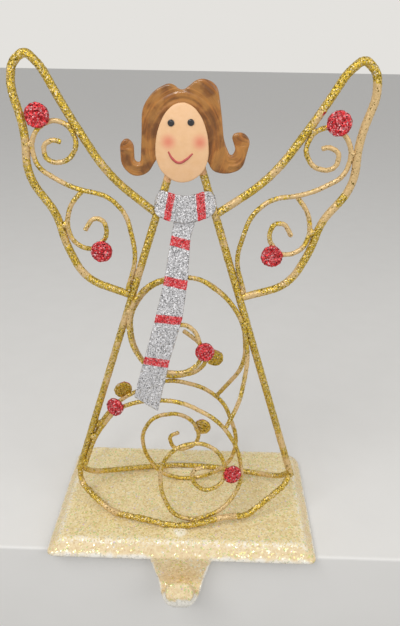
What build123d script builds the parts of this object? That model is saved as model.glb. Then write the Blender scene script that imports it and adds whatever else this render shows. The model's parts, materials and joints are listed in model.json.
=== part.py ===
"""Mantel stocking holder: a weighted base with a hook, and a wire angel welded on top of it.

Millimetres. The origin is on the shelf, under the middle of the base. +X is to the right as the
angel is faced, +Y is towards the wall and +Z is up. The hook hangs below the shelf's front edge.
"""
from build123d import *
from math import atan, cos, pi, radians, sin, sqrt, tan
import os

# Base casting
BASE_WIDTH = 130.0
BASE_DEPTH = 82.0
BASE_THICKNESS = 7.2
BASE_RIM = 1.6            # upright edge below the bevel
BEVEL_INSET = 5.6         # how far the bevel brings the top face in
FRONT_CORNER = 4.0
REAR_CORNER = 9.0
TOP_CORNER = 7.0
EDGE_SOFTENING = 1.2
PAD_THICKNESS = 0.8
PAD_MARGIN = 3.0

# Hook, cast with the base
TONGUE_WIDTH = 31.0
TONGUE_THICKNESS = 5.5
HOOK_DROP = 20.5          # shelf level to the underside of the hook
HOOK_WIDTH = 17.0         # across the bend
HOOK_GAP = 6.5            # room for the loop of a stocking
HOOK_FLOOR = 6.0
LIP_THICKNESS = 5.5
LIP_TOP = -5.5            # height of the lip's tip, below the shelf
LIP_WIDTH = 14.4
LIP_TIP = 2.0             # flat end of the lip
LIP_SLANT = 4.5           # height of the slope in front of it

# Wires
LEG_WIRE = 3.4
WING_WIRE = 3.4
SCROLL_WIRE = 2.1
HEM_WIRE = 2.8
FIT = 0.05                # gap between pieces that lie against each other
WELD = 1.45               # radius of a weld bead

# Angel: heights are above the top face of the base
FIGURE_Y = -3.0           # the legs stand in front of the middle of the base
FOOT_X = 55.0
FOOT_HEIGHT = 15.0
APEX_HEIGHT = 192.0       # where the two legs would cross
APEX_BEND = 4.0
FACE_DROP = 13.0          # from there down to the widest part of the face
SHOULDER_DROP = 40.0      # down to the upper weld of a wing on its leg
COLLAR_DROP = 43.0        # down to the bottom of the collar
WAIST_DROP = 78.0         # down to the lower weld of a wing on its leg
WING_SPREAD = {"left": 0.0, "right": 2.8}   # degrees outwards, as welded by hand
WING_LENGTH = {"left": 1.0, "right": 1.01}

# Skirt: two scroll panels that stand out from the legs, and two hems
PANEL_OFFSET = 1.5        # a panel's wires where they touch a leg
SKIRT_FOOT = 2.0          # height at which the flare is full
FRONT_CURVE = 1.7         # how late the flare opens, going down
REAR_CURVE = 0.55
REAR_FLARE = 10.5
FRONT_HEM_MARGIN = 7.9    # middle of a hem to the edge of the base's top face
REAR_HEM_MARGIN = 15.4
HEM_ROUNDNESS = 0.75

# Berry discs
WING_BERRY = 10.0
WING_SMALL_BERRY = 9.4
SKIRT_BERRY = 8.8
BERRY_THICKNESS = 1.8
BERRY_SOFTENING = 0.5
BERRY_SEAT = 0.3          # depth of the groove that seats a disc on its wire

# Head
HEAD_X = -1.5
HAIR_THICKNESS = 2.2
HAIR_SOFTENING = 0.8
FACE_WIDTH = 21.4
FACE_ABOVE = 18.6
FACE_BELOW = 12.3
FACE_CROWN = 3.0          # thickness in the middle
FACE_DOME = 70.0          # radius of the domed front

# Scarf
SCARF_SHEET = 1.2
COLLAR_HEIGHT = 14.0
COLLAR_BULGE = 1.2
TAIL_LAP = 4.0            # length tucked behind the collar

BASE_TOP = PAD_THICKNESS + BASE_THICKNESS
LEG_RADIUS = LEG_WIRE / 2
SCROLL_RADIUS = SCROLL_WIRE / 2
HEM_RADIUS = HEM_WIRE / 2
WING_RADIUS = WING_WIRE / 2
FACE_MIDDLE = APEX_HEIGHT - FACE_DROP
SHOULDER_HEIGHT = APEX_HEIGHT - SHOULDER_DROP
COLLAR_BOTTOM = APEX_HEIGHT - COLLAR_DROP
WAIST_HEIGHT = APEX_HEIGHT - WAIST_DROP
FRONT_HEM_BOW = BASE_DEPTH / 2 - BEVEL_INSET + FIGURE_Y - FRONT_HEM_MARGIN
REAR_HEM_BOW = BASE_DEPTH / 2 - BEVEL_INSET - FIGURE_Y - REAR_HEM_MARGIN
FRONT_FLARE = FRONT_HEM_BOW - HEM_RADIUS - SCROLL_RADIUS - FIT - PANEL_OFFSET
LEG_LEAN = atan(FOOT_X / (APEX_HEIGHT - FOOT_HEIGHT))
SIDES = {"left": -1, "right": 1}

# Wing corners, outwards and upwards from the waist weld
WING_OUTLINE = [
    (8.5, 54), (25, 81), (32.5, 95.5), (37.3, 100.3), (39.7, 100.3), (44, 96.5), (45.4, 88),
    (41.2, 71), (42.4, 53), (31, 37), (28.5, 24.5), (21, 7.5),
]
LONG_SCROLL = [
    (27, 67), (30, 68), (34.5, 66), (34, 60.5), (30.5, 58.5), (24.5, 59.5), (20, 66), (23, 73.5),
    (29, 76), (36, 73), (39.6, 66), (37.8, 56.5), (24, 48.2), (9, 45.5), (1.2, 37.5),
]
LONG_SCROLL_ON_LEG = (132.0, 117.0)   # heights between which it lies along the leg
SMALL_SCROLL = [
    (25.2, 41), (27.3, 32.5), (25.5, 25.5), (20.8, 22), (15.5, 21.5), (10.5, 27), (10, 31),
    (11.5, 35), (16, 35.5), (19.5, 30),
]
SMALL_SCROLL_START = (19.5, 47.2)     # on the long scroll
WING_BERRIES = {
    "left": {"upper": (35.5, 77.5), "lower": (12.5, 21)},
    "right": {"upper": (32.2, 77.4), "lower": (12, 21)},
}

# Skirt corners: share of the way from the middle to a leg, and from the base up to the waist
FRONT_UPPER = [
    (-0.2, 0.895), (0.04, 0.895), (0.19, 0.864), (0.26, 0.798), (0.24, 0.737), (0.02, 0.689),
    (-0.29, 0.689), (-0.57, 0.706), (-0.85, 0.785), (-1.02, 0.882), (-1.06, 0.974), (-0.82, 1.061),
    (-0.22, 1.092), (0.35, 1.088), (0.88, 1.004), (1.05, 0.904), (0.97, 0.746), (0.7, 0.548),
    (0.5, 0.439),
]
FRONT_LOWER = [
    (-1, 0.167), (-0.995, 0.325), (-0.84, 0.487), (-0.57, 0.548), (-0.07, 0.57), (0.42, 0.474),
    (0.59, 0.333), (0.58, 0.18), (0.38, 0.066), (0.12, 0.026), (-0.08, 0.044), (-0.21, 0.145),
    (-0.24, 0.272), (-0.07, 0.364), (0.21, 0.382), (0.4, 0.325), (0.43, 0.232), (0.35, 0.175),
    (0.2, 0.158), (0.09, 0.202), (0.09, 0.259), (0.23, 0.268),
]
REAR_UPPER = [
    (-0.05, 0.816), (0.25, 0.754), (0.31, 0.671), (0.14, 0.61), (-0.22, 0.579), (-0.53, 0.632),
    (-0.84, 0.763), (-1.05, 0.917), (-0.82, 1.031), (-0.21, 1.066), (0.4, 1.057), (0.86, 0.991),
    (1.04, 0.877), (0.88, 0.684), (0.42, 0.509),
]
REAR_LOWER = [
    (-1, 0.184), (-0.99, 0.373), (-0.83, 0.491), (-0.26, 0.579), (0.24, 0.535), (0.48, 0.465),
    (0.57, 0.281), (0.47, 0.14), (0.25, 0.039), (-0.03, 0.002), (-0.25, 0.039), (-0.43, 0.171),
    (-0.49, 0.285), (-0.38, 0.377), (-0.1, 0.39), (0.08, 0.351), (0.15, 0.272), (0.1, 0.211),
    (-0.06, 0.18), (-0.14, 0.197), (-0.19, 0.259), (-0.08, 0.281),
]
UPPER_SCROLL = {"front": FRONT_UPPER, "rear": REAR_UPPER}
LOWER_SCROLL = {"front": FRONT_LOWER, "rear": REAR_LOWER}
UPPER_WELDS = {"front": [(-1, 0.93), (1, 0.886)], "rear": [(-1, 0.912), (1, 0.868)]}
LOWER_WELDS = {"front": [(-1, 0.184), (-1, 0.325)], "rear": [(-1, 0.237), (-1, 0.377)]}
HEM_WELD = (0.12, 0.026)    # front panel on the front hem
SKIRT_BERRIES = {
    "front": {"upper": (0.31, 0.785), "middle": (-0.84, 0.504), "lower": (0.48, 0.228)},
    "rear": {"upper": (0.41, 0.684), "middle": (-0.8, 0.528), "lower": (0.18, 0.307)},
}

# Hem corners: share of the way from the middle to a foot, and lift of the wire off the base
FRONT_HEM = [
    (-1.0, 5.2), (-0.82, 4.0), (-0.64, 0), (-0.38, 2.0), (-0.08, 0), (0.13, 1.4), (0.4, 4.8),
    (0.57, 1.8), (0.77, 8.2), (0.93, 11.2),
]
REAR_HEM = [(-0.9, 6.5), (-0.64, 1.6), (-0.2, 0), (0.2, 0), (0.64, 2.0), (0.9, 7.0)]

# Hair outline around the middle of the face, with a curl turned up on each side
HAIR = [
    (-0.3, 22.3), (-4.4, 26), (-11, 23), (-16, 16.5), (-16.4, 5), (-17, -5), (-19.4, -4.5),
    (-19.6, 2.5), (-22.4, 5), (-25.2, 2.5), (-25, -6.5), (-20, -11), (-14, -9.5), (-9, -1),
    (10, -3), (12, -8), (18, -9.2), (24.5, -7), (27.3, 4.5), (24.3, 7.8), (19.2, 7), (21.5, 0.5),
    (19.5, -2.2), (16.6, 4), (15.4, 15), (13.6, 25.5), (6.6, 28),
]

# Scarf, with heights from the bottom of the collar: the collar's outline as a share of the way to a
# leg, then the edges of the tail and its slanted end
COLLAR = [
    (-0.95, 14), (-1.18, 10), (-1.2, 3.5), (-0.79, 1.2), (-0.41, 0.3), (0.41, 0.8), (0.86, 2.6),
    (1.16, 5.5), (1.13, 10), (0.91, 13.8), (0.68, 13.6), (0, 11.6), (-0.66, 13),
]
TAIL_RESTS = [(-0.1, -25.5), (-0.3, -72), (-0.4, -93)]   # where it lies over the front scrolls
TAIL_EDGE_LEFT = [
    (-4.6, 6), (-4.9, 1.5), (-6.5, -7.5), (-9.4, -26), (-13.4, -43.5), (-18.8, -64),
    (-23.6, -82.3),
]
TAIL_END = [
    (-16.4, -87), (-12.4, -89.4),
]
TAIL_EDGE_RIGHT = [
    (-9.6, -77), (-7, -64.5), (-1.1, -43), (1.1, -25.5), (2, -7), (4.3, 1.5), (4.6, 6),
]


def at(x, y, height):
    """Point of the angel, from the legs' plane and the top face of the base."""
    return Vector(x, FIGURE_Y + y, BASE_TOP + height)


def leg_x(height):
    """Distance of a leg's centre line from the middle."""
    return FOOT_X * (APEX_HEIGHT - height) / (APEX_HEIGHT - FOOT_HEIGHT)


def route(corners):
    """Centre line of a bent wire: straight runs, each bend as large as its two runs allow."""
    radii = []
    for a, b, c in zip(corners, corners[1:], corners[2:]):
        half_turn = radians((b - a).get_angle(c - b)) / 2
        radii.append(0.45 * min((b - a).length, (c - b).length) / tan(half_turn))
    return FilletPolyline(*corners, radius=radii)


def nearest(path, point):
    """Point of a centre line that is closest to another point."""
    return path.distance_to_with_closest_points(point)[1]


def rod(path, diameter):
    """Round wire along a centre line."""
    section = Plane(origin=path @ 0, z_dir=path % 0) * Circle(diameter / 2)
    return sweep(section, path)


def weld_bead(path, near, carrier, carrier_radius):
    """Bead between a scroll and the wire that carries it, large enough to bridge them."""
    here = nearest(path, near)
    there = nearest(carrier, here)
    gap = (there - here).length - carrier_radius - SCROLL_RADIUS
    middle = here + (there - here).normalized() * (SCROLL_RADIUS + gap / 2)
    return Pos(*middle) * Sphere(WELD + abs(gap) / 2)


def trimmed(wire, *others):
    """Wire with the room of its neighbours cut away, so that they meet face to face."""
    for other in others:
        wire = wire - other
    return max(wire.solids(), key=lambda solid: solid.volume)


def rounded_face(corners, plane):
    """Flat face inside a closed line of corners, each rounded as far as its runs allow."""
    points = [Vector(*corner) for corner in corners]
    radii = []
    for index, point in enumerate(points):
        before = point - points[index - 1]
        after = points[(index + 1) % len(points)] - point
        half_turn = radians(before.get_angle(after)) / 2
        radii.append(0.45 * min(before.length, after.length) / tan(half_turn))
    return plane * make_face(FilletPolyline(*points, radius=radii, close=True))


# Base and hook

def base_plan(width, depth, front_corner, rear_corner, height):
    """Outline of the base at one height, with its own corner radii at the front and the rear."""
    plan = Rectangle(width, depth)
    front = plan.vertices().filter_by(lambda vertex: vertex.Y < 0)
    plan = fillet(front, front_corner)
    rear = plan.vertices().group_by(Axis.Y)[-1]
    return Pos(0, 0, height) * fillet(rear, rear_corner)


def rounded(corners):
    """Flat face inside a closed line of corners, each given with its own radius."""
    radii = [radius for *_, radius in corners]
    return make_face(FilletPolyline(*[corner[:2] for corner in corners], radius=radii, close=True))


def hook_profile():
    """Side view of the hook: tongue, bend and blunt lip with a slanted tip."""
    tongue_front = -BASE_DEPTH / 2
    tongue_back = tongue_front + TONGUE_THICKNESS
    lip_back = tongue_front - HOOK_GAP
    lip_front = lip_back - LIP_THICKNESS
    root = PAD_THICKNESS + BASE_RIM
    floor = HOOK_FLOOR - HOOK_DROP
    inside = HOOK_GAP / 2 - FIT
    lip_height = LIP_TOP - LIP_SLANT + HOOK_DROP
    outside = min(HOOK_FLOOR + 1, lip_height * 0.8, (tongue_back - lip_front) * 0.45)
    return rounded([
        (tongue_back, root, 0), (tongue_back, -HOOK_DROP, outside),
        (lip_front, -HOOK_DROP, outside), (lip_front, LIP_TOP - LIP_SLANT, LIP_SLANT / 2),
        (lip_back - LIP_TIP, LIP_TOP, LIP_TIP / 2), (lip_back, LIP_TOP, LIP_TIP / 3),
        (lip_back, floor, inside), (tongue_front, floor, inside), (tongue_front, root, 0),
    ])


def hook():
    """Tapered tongue that ends in a J with a thumb-like lip."""
    root = PAD_THICKNESS + BASE_RIM
    top, bend = TONGUE_WIDTH / 2, HOOK_WIDTH / 2
    bottom = -HOOK_DROP - LIP_TIP / 4
    taper = atan((top - bend) / (root + 1 - bottom))
    round_end = 0.95 * bend / tan(pi / 4 - taper / 2)
    tongue_view = rounded([
        (-top, root + 1, 0), (-bend, bottom, round_end), (bend, bottom, round_end),
        (top, root + 1, 0),
    ])
    half_lip = LIP_WIDTH / 2
    neck = HOOK_FLOOR - HOOK_DROP + LIP_TIP
    below = -2 * HOOK_DROP
    tip = LIP_TOP + LIP_TIP / 4
    dome = min(half_lip * 0.85, (tip - neck) * 0.8)
    lip_view = rounded([
        (-top, below, 0), (-top, bottom, 0), (-half_lip, neck, LIP_TIP),
        (-half_lip, tip, dome), (half_lip, tip, dome),
        (half_lip, neck, LIP_TIP), (top, bottom, 0), (top, below, 0),
    ])
    profile = hook_profile()
    front_half = Pos(-BASE_DEPTH - HOOK_GAP / 2, 0) * Rectangle(BASE_DEPTH, BASE_DEPTH)
    tongue = extrude(Plane.YZ * (profile - front_half), BASE_WIDTH, both=True)
    lip = extrude(Plane.YZ * (profile & front_half), BASE_WIDTH, both=True)
    tongue = tongue & extrude(Plane.XZ * tongue_view, BASE_DEPTH, both=True)
    return tongue + (lip & extrude(Plane.XZ * (tongue_view & lip_view), BASE_DEPTH, both=True))


def weld_mound(middle, length):
    """Low run of weld metal on the base, painted with it, that holds the middle of a hem."""
    radius = 3.2 * HEM_WIRE
    run = Cylinder(radius, length, rotation=(0, 90, 0))
    run += Pos(length / 2, 0, 0) * Sphere(radius)
    run += Pos(-length / 2, 0, 0) * Sphere(radius)
    sunk = Pos(0, 0, -radius - HEM_RADIUS) * Box(BASE_WIDTH, BASE_DEPTH, 2 * radius)
    return Pos(*middle) * (Pos(0, 0, HEM_RADIUS - radius) * run - sunk)


def base_casting(hems):
    """Bevelled plate, hook and weld mounds in one casting."""
    edge = base_plan(BASE_WIDTH, BASE_DEPTH, FRONT_CORNER, REAR_CORNER, PAD_THICKNESS)
    rim = extrude(edge, BASE_RIM)
    low = Pos(0, 0, BASE_RIM) * edge
    high = base_plan(BASE_WIDTH - 2 * BEVEL_INSET, BASE_DEPTH - 2 * BEVEL_INSET,
                     TOP_CORNER, TOP_CORNER, BASE_TOP)
    plate = rim + loft([low.face(), high.face()], ruled=True)
    plate = fillet(plate.edges().group_by(Axis.Z)[-1], EDGE_SOFTENING)
    casting = plate + hook()
    casting += weld_mound(at(-0.06 * FOOT_X, -FRONT_HEM_BOW - HEM_RADIUS, 0), HEM_WIRE)
    casting += weld_mound(at(0, REAR_HEM_BOW, 0), REAR_HEM_BOW * 0.7)
    return trimmed(casting, *hems)


def base_pad():
    """Felt sheet that keeps the casting off the shelf."""
    plan = base_plan(BASE_WIDTH - 2 * PAD_MARGIN, BASE_DEPTH - 2 * PAD_MARGIN,
                     FRONT_CORNER, REAR_CORNER, 0)
    tongue_room = Pos(0, -BASE_DEPTH / 2, 0) * Box(
        TONGUE_WIDTH + 2 * PAD_MARGIN, 2 * (TONGUE_THICKNESS + PAD_MARGIN), BASE_TOP)
    return extrude(plan, PAD_THICKNESS) - tongue_room


# Legs and hems

def leg_line(side):
    """Point on a leg's centre line at a height."""
    return lambda height: at(side * leg_x(height), 0, height)


def body_frame_path():
    """One rod bent at the top, with a foot at each end."""
    feet = [at(side * FOOT_X, 0, FOOT_HEIGHT) for side in (-1, 1)]
    return FilletPolyline(feet[0], at(0, 0, APEX_HEIGHT), feet[1], radius=APEX_BEND)


def hem_path(corners, bow):
    """Wavy rod from foot to foot that bows away from the legs and touches down in the middle."""
    weld_height = FOOT_HEIGHT + LEG_RADIUS
    line = [leg_line(-1)(weld_height)]
    for share, lift in corners:
        depth = bow * (1 - share * share) ** HEM_ROUNDNESS
        line.append(at(share * FOOT_X, depth, HEM_RADIUS + FIT + lift))
    return route(line + [leg_line(1)(weld_height)])


# Wings

def wing_point(outwards, upwards, side):
    """Corner of a wing, leaning outwards from its waist weld by the wing's spread."""
    spread = radians(WING_SPREAD[side])
    length = WING_LENGTH[side]
    x = leg_x(WAIST_HEIGHT) + length * (outwards * cos(spread) + upwards * sin(spread))
    height = WAIST_HEIGHT + length * (upwards * cos(spread) - outwards * sin(spread))
    return at(SIDES[side] * x, 0, height)


def wing_outline_path(side):
    leg = leg_line(SIDES[side])
    corners = [wing_point(*corner, side) for corner in WING_OUTLINE]
    return route([leg(SHOULDER_HEIGHT)] + corners + [leg(WAIST_HEIGHT)])


def long_scroll_path(side):
    """Curl that runs down beside the outline and ends along the leg."""
    beside = (LEG_RADIUS + SCROLL_RADIUS + FIT) / cos(LEG_LEAN)
    corners = [wing_point(*corner, side) for corner in LONG_SCROLL]
    corners += [at(SIDES[side] * (leg_x(h) + beside), 0, h) for h in LONG_SCROLL_ON_LEG]
    return route(corners)


def small_scroll_path(side, long_path):
    """Curl that starts on the long scroll."""
    corners = [wing_point(*corner, side) for corner in SMALL_SCROLL]
    return route([nearest(long_path, wing_point(*SMALL_SCROLL_START, side))] + corners)


# Skirt

def skirt_depth(share, height, panel):
    """How far a panel stands away from the legs' plane. It has no flare above the shoulders."""
    flare, curve = {"front": (FRONT_FLARE, FRONT_CURVE), "rear": (REAR_FLARE, REAR_CURVE)}[panel]
    drop = max(0, (SHOULDER_HEIGHT - height) / (SHOULDER_HEIGHT - SKIRT_FOOT))
    return PANEL_OFFSET + flare * drop ** curve * max(0, 1 - share * share)


def skirt_point(share, level, panel):
    """Point of a skirt panel. At a share of 1 its wire touches a leg, and level 1 is the waist."""
    height = level * WAIST_HEIGHT
    touch = LEG_RADIUS + SCROLL_RADIUS + FIT
    inset = sqrt(touch ** 2 - PANEL_OFFSET ** 2) / cos(LEG_LEAN)
    depth = skirt_depth(share, height, panel)
    facing = -1 if panel == "front" else 1
    return at(share * (leg_x(height) - inset), facing * depth, height)


def lower_scroll_path(panel):
    return route([skirt_point(*corner, panel) for corner in LOWER_SCROLL[panel]])


def upper_scroll_path(panel, lower_path):
    """Curl that ends on the lower scroll."""
    corners = [skirt_point(*corner, panel) for corner in UPPER_SCROLL[panel]]
    return route(corners[:-1] + [nearest(lower_path, corners[-1])])


def berry(plane, diameter, *wires):
    """Disc that lies on a wire, seated in a shallow groove. The plane's Z points away from it."""
    lift = SCROLL_RADIUS + BERRY_THICKNESS / 2 - BERRY_SEAT
    disc = Cylinder(diameter / 2, BERRY_THICKNESS)
    disc = fillet(disc.edges(), BERRY_SOFTENING)
    return trimmed(plane * Pos(0, 0, lift) * disc, *wires)


def skirt_plane(share, level, panel):
    """Plane that lies on a skirt panel, facing away from the legs."""
    step = 0.02
    across = skirt_point(share + step, level, panel) - skirt_point(share - step, level, panel)
    upward = skirt_point(share, level + step, panel) - skirt_point(share, level - step, panel)
    facing = across.cross(upward) if panel == "front" else upward.cross(across)
    return Plane(origin=skirt_point(share, level, panel), x_dir=across, z_dir=facing)


# Head and scarf

def front_plane(x, depth, height):
    """Upright plane in front of the legs, facing forwards."""
    return Plane(origin=at(x, -depth, height), x_dir=(1, 0, 0), z_dir=(0, -1, 0))


def hair_plate():
    plane = front_plane(HEAD_X, LEG_RADIUS + FIT, FACE_MIDDLE)
    plate = extrude(rounded_face(HAIR, plane), HAIR_THICKNESS)
    front = plate.faces().sort_by(Axis.Y)[0]
    return fillet(front.edges(), HAIR_SOFTENING)


def face_plate():
    """Egg-shaped blank, pressed to a shallow dome."""
    plane = front_plane(HEAD_X, LEG_RADIUS + FIT + HAIR_THICKNESS, FACE_MIDDLE)
    half = FACE_WIDTH / 2
    outline = EllipticalCenterArc((0, 0), half, FACE_ABOVE, 0, arc_size=180)
    outline += EllipticalCenterArc((0, 0), half, FACE_BELOW, 180, arc_size=180)
    blank = extrude(plane * make_face(outline), half)
    dome_middle = (FACE_ABOVE - FACE_BELOW) / 4
    dome = plane * Pos(0, dome_middle, FACE_CROWN - FACE_DOME) * Sphere(FACE_DOME)
    return blank & dome


def collar_section(height):
    """Plan of the collar at one height: a sheet across the front that hooks round both legs."""
    inner = LEG_RADIUS / cos(LEG_LEAN) + FIT
    outer = inner + SCARF_SHEET
    x = leg_x(height)
    bulge = COLLAR_BULGE
    front = ThreePointArc((-x, -outer), (0, -outer - bulge), (x, -outer))
    right = ThreePointArc((x, -outer), (x + outer, 0), (x, outer))
    right_end = Line((x, outer), (x, inner))
    right_inside = ThreePointArc((x, inner), (x + inner, 0), (x, -inner))
    back = ThreePointArc((x, -inner), (0, -inner - bulge), (-x, -inner))
    left_inside = ThreePointArc((-x, -inner), (-x - inner, 0), (-x, inner))
    left_end = Line((-x, inner), (-x, outer))
    left = ThreePointArc((-x, outer), (-x - outer, 0), (-x, -outer))
    outline = front + right + right_end + right_inside + back + left_inside + left_end + left
    return Pos(*at(0, 0, height)) * make_face(outline)


def scarf_collar():
    """Sheet bent round the neck, cut to a soft outline."""
    heights = (COLLAR_BOTTOM, COLLAR_BOTTOM + COLLAR_HEIGHT)
    sections = [collar_section(height).face() for height in heights]
    neck = leg_x(COLLAR_BOTTOM + COLLAR_HEIGHT / 2)
    corners = [(share * neck, height) for share, height in COLLAR]
    outline = rounded_face(corners, front_plane(0, 0, COLLAR_BOTTOM))
    return loft(sections, ruled=True) & extrude(outline, BASE_DEPTH, both=True)


def scarf_tail(*neighbours):
    """Sheet strip that hangs from behind the collar and leans out over the skirt."""
    tucked = LEG_RADIUS / cos(LEG_LEAN) + COLLAR_BULGE * 0.82 - SCARF_SHEET
    hang = [(tucked, TAIL_LAP), (tucked, -TAIL_LAP)]
    for share, drop in TAIL_RESTS:
        over = skirt_depth(share, COLLAR_BOTTOM + drop, "front")
        hang.append((over + SCROLL_RADIUS + FIT, drop))
    back = [(-depth, height) for depth, height in hang]
    front = [(-depth - SCARF_SHEET, height) for depth, height in reversed(hang)]
    side_plane = Plane(origin=at(0, 0, COLLAR_BOTTOM), x_dir=(0, 1, 0), z_dir=(1, 0, 0))
    sheet = side_plane * make_face(Polyline(*back, *front, close=True))
    edge = TAIL_EDGE_LEFT + TAIL_END + TAIL_EDGE_RIGHT
    view = front_plane(0, 0, COLLAR_BOTTOM) * make_face(Polyline(*edge, close=True))
    strip = extrude(sheet, BASE_WIDTH / 2, both=True) & extrude(view, BASE_DEPTH, both=True)
    return trimmed(strip, *neighbours)


def build():
    """Every piece by name."""
    pieces = {}
    frame_path = body_frame_path()
    legs = rod(frame_path, LEG_WIRE)
    pieces["body_frame"] = legs

    front_hem_path = hem_path(FRONT_HEM, -FRONT_HEM_BOW)
    rear_hem_path = hem_path(REAR_HEM, REAR_HEM_BOW)
    front_hem = trimmed(rod(front_hem_path, HEM_WIRE), legs)
    pieces["front_hem"] = front_hem
    pieces["rear_hem"] = trimmed(rod(rear_hem_path, HEM_WIRE), legs, front_hem)
    pieces["base_casting"] = base_casting([front_hem, pieces["rear_hem"]])
    pieces["base_pad"] = base_pad()

    for side in SIDES:
        outline_path = wing_outline_path(side)
        outline = trimmed(rod(outline_path, WING_WIRE), legs)
        pieces[f"{side}_wing_outline"] = outline
        long_path = long_scroll_path(side)
        scroll = rod(long_path, SCROLL_WIRE)
        for corner in (LONG_SCROLL[7], LONG_SCROLL[10]):
            scroll += weld_bead(long_path, wing_point(*corner, side), outline_path, WING_RADIUS)
        scroll += weld_bead(long_path, long_path @ 1, frame_path, LEG_RADIUS)
        scroll = trimmed(scroll, outline, legs)
        pieces[f"{side}_wing_long_scroll"] = scroll
        small_path = small_scroll_path(side, long_path)
        small = rod(small_path, SCROLL_WIRE)
        touch = wing_point(*SMALL_SCROLL[1], side)
        small += weld_bead(small_path, touch, outline_path, WING_RADIUS)
        small = trimmed(small, scroll, outline)
        pieces[f"{side}_wing_small_scroll"] = small
        for name, wire, diameter in (("upper", scroll, WING_BERRY), ("lower", small, WING_SMALL_BERRY)):
            centre = wing_point(*WING_BERRIES[side][name], side)
            plane = Plane(origin=centre, x_dir=(1, 0, 0), z_dir=(0, -1, 0))
            pieces[f"{side}_wing_{name}_berry"] = berry(plane, diameter, wire)

    other_panel = []
    for panel in UPPER_SCROLL:
        lower_path = lower_scroll_path(panel)
        lower = rod(lower_path, SCROLL_WIRE)
        for spot in LOWER_WELDS[panel]:
            lower += weld_bead(lower_path, skirt_point(*spot, panel), frame_path, LEG_RADIUS)
        if panel == "front":
            touch = skirt_point(*HEM_WELD, panel)
            lower += weld_bead(lower_path, touch, front_hem_path, HEM_RADIUS)
        lower = trimmed(lower, legs, front_hem, *other_panel)
        upper_path = upper_scroll_path(panel, lower_path)
        upper = rod(upper_path, SCROLL_WIRE)
        for spot in UPPER_WELDS[panel]:
            upper += weld_bead(upper_path, skirt_point(*spot, panel), frame_path, LEG_RADIUS)
        upper = trimmed(upper, legs, lower, *other_panel)
        pieces[f"{panel}_lower_scroll"] = lower
        pieces[f"{panel}_upper_scroll"] = upper
        other_panel = [lower, upper]
        for name, spot in SKIRT_BERRIES[panel].items():
            plane = skirt_plane(*spot, panel)
            pieces[f"{panel}_skirt_{name}_berry"] = berry(plane, SKIRT_BERRY, upper, lower)

    pieces["hair_plate"] = hair_plate()
    pieces["face_plate"] = face_plate()
    pieces["scarf_collar"] = trimmed(
        scarf_collar(), pieces["left_wing_outline"], pieces["right_wing_outline"])
    pieces["scarf_tail"] = scarf_tail(
        pieces["scarf_collar"], pieces["front_upper_scroll"], pieces["front_lower_scroll"])
    return pieces


if __name__ == "__main__":
    os.makedirs("parts", exist_ok=True)
    for name, piece in build().items():
        export_step(piece, f"parts/{name}.step")
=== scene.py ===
"""Mantel stocking holder: paint, glitter and small relief over its wires, base, scarf and head."""
import json
from math import cos, pi, radians, sin

import bpy
from bpy.props import FloatProperty, FloatVectorProperty, PointerProperty
from mathutils import Matrix, Vector


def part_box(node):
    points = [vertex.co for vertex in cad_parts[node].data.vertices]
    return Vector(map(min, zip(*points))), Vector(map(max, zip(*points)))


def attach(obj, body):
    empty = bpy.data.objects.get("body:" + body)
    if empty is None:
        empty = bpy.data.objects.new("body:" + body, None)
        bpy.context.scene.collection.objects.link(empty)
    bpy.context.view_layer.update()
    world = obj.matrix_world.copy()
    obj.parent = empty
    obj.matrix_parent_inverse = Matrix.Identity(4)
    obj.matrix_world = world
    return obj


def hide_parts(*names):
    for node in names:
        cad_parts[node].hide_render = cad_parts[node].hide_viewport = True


bl_info = {
    "name": "Mantel stocking holder",
    "version": (1, 0, 0),
    "blender": (4, 5, 0),
    "location": "View3D > Sidebar > Stocking holder",
    "description": "Finishes a mantel stocking holder with a wire angel on a weighted base",
    "category": "Object",
}

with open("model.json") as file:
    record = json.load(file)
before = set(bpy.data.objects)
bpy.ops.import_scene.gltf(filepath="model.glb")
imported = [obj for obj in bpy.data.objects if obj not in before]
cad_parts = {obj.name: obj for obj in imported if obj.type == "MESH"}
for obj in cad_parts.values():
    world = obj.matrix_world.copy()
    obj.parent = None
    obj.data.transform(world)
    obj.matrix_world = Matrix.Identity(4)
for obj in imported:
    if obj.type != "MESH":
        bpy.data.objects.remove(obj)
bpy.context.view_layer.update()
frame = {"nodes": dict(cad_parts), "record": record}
NODES = frame["nodes"]
MM = 0.001

# Places and sizes are in mm, down to the stage

# Glitter: each brightness holds from its share of the flakes up to the next
FLAKE_TONES = [(0.0, 0.25), (0.09, 0.6), (0.28, 1.0), (0.6, 1.08), (0.82, 1.22), (0.94, 1.5)]
FLAKE_TILT = 0.9
FLAKE_METAL = 0.75
FLAKE_ROUGHNESS = 0.3           # by how much flakes differ
BARE_METAL = 0.25               # where the glitter is rubbed off
BARE_TILT = 0.25
WIRE_FLAKE = 0.4
BERRY_FLAKE = 0.5
SCARF_FLAKE = 0.36
BASE_FLAKE = 0.75
PLAIN_ROUGHNESS = 0.5

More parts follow.
